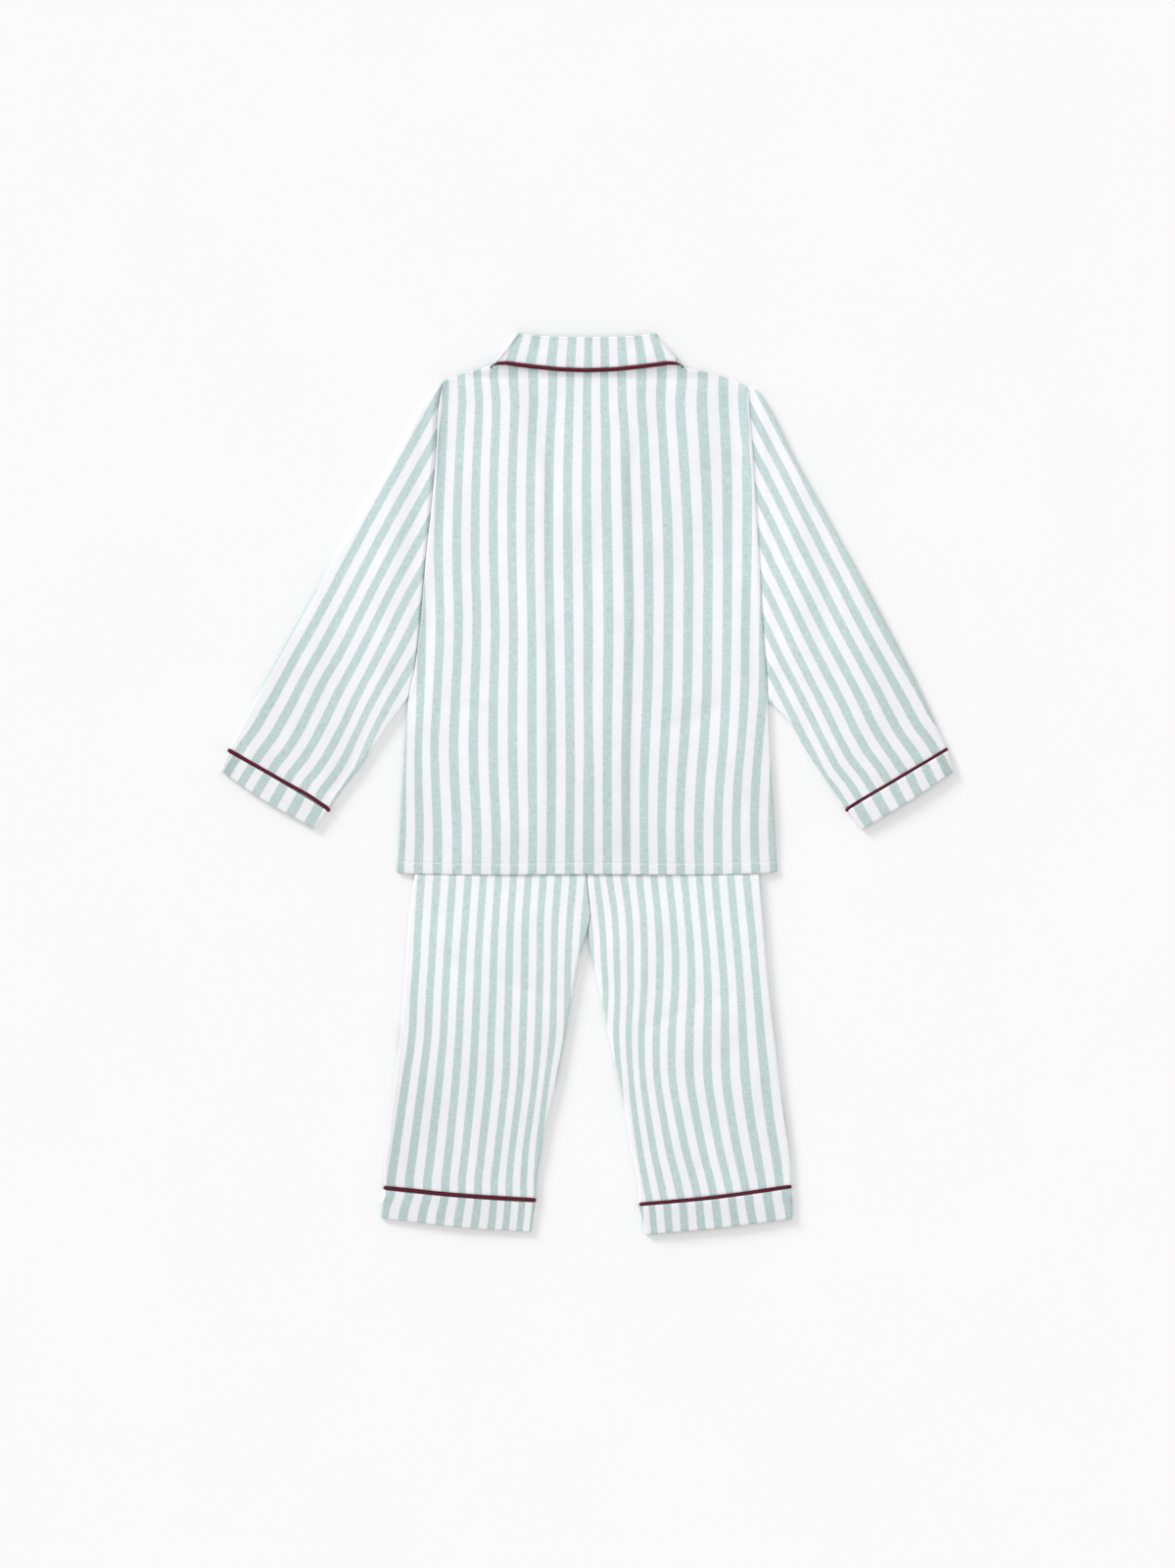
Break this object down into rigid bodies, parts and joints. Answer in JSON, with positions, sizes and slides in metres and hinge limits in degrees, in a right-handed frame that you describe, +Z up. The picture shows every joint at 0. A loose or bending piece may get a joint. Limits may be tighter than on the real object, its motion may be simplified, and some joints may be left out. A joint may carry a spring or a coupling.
{
  "type": "pyjama set",
  "caption": "Child's woven pyjama set laid flat with its back up: long-sleeved jacket with a turned-down piped collar and piped cuffs, over long trousers with piped hem bands.",
  "frame": {"origin": "centre of the set's plan, on the surface it lies on", "axes": "+Y towards the collar, +X towards the wearer's right sleeve (the picture's right), +Z up from the surface"},
  "size_m": [0.6752, 0.8275, 0.0083],
  "materials": {
    "striped_cotton": "fine woven cotton, mint and white stripes, matt",
    "piping_cotton": "burgundy woven cotton piping, matt",
    "button_resin": "off-white, lightly polished"
  },
  "bodies": {
    "root": {"jacket_back": "striped_cotton", "jacket_front_left": "striped_cotton", "jacket_front_right": "striped_cotton", "sleeve_left": "striped_cotton", "sleeve_right": "striped_cotton", "cuff_left": "striped_cotton", "cuff_right": "striped_cotton", "cuff_piping_left": "piping_cotton", "cuff_piping_right": "piping_cotton", "collar": "striped_cotton", "collar_piping": "piping_cotton", "button_1": "button_resin", "button_2": "button_resin", "button_3": "button_resin", "button_4": "button_resin", "trousers_back_left": "striped_cotton", "trousers_back_right": "striped_cotton", "trousers_front_left": "striped_cotton", "trousers_front_right": "striped_cotton", "waistband": "striped_cotton", "hem_band_left": "striped_cotton", "hem_band_right": "striped_cotton", "hem_piping_left": "piping_cotton", "hem_piping_right": "piping_cotton"}
  },
  "joints": []
}
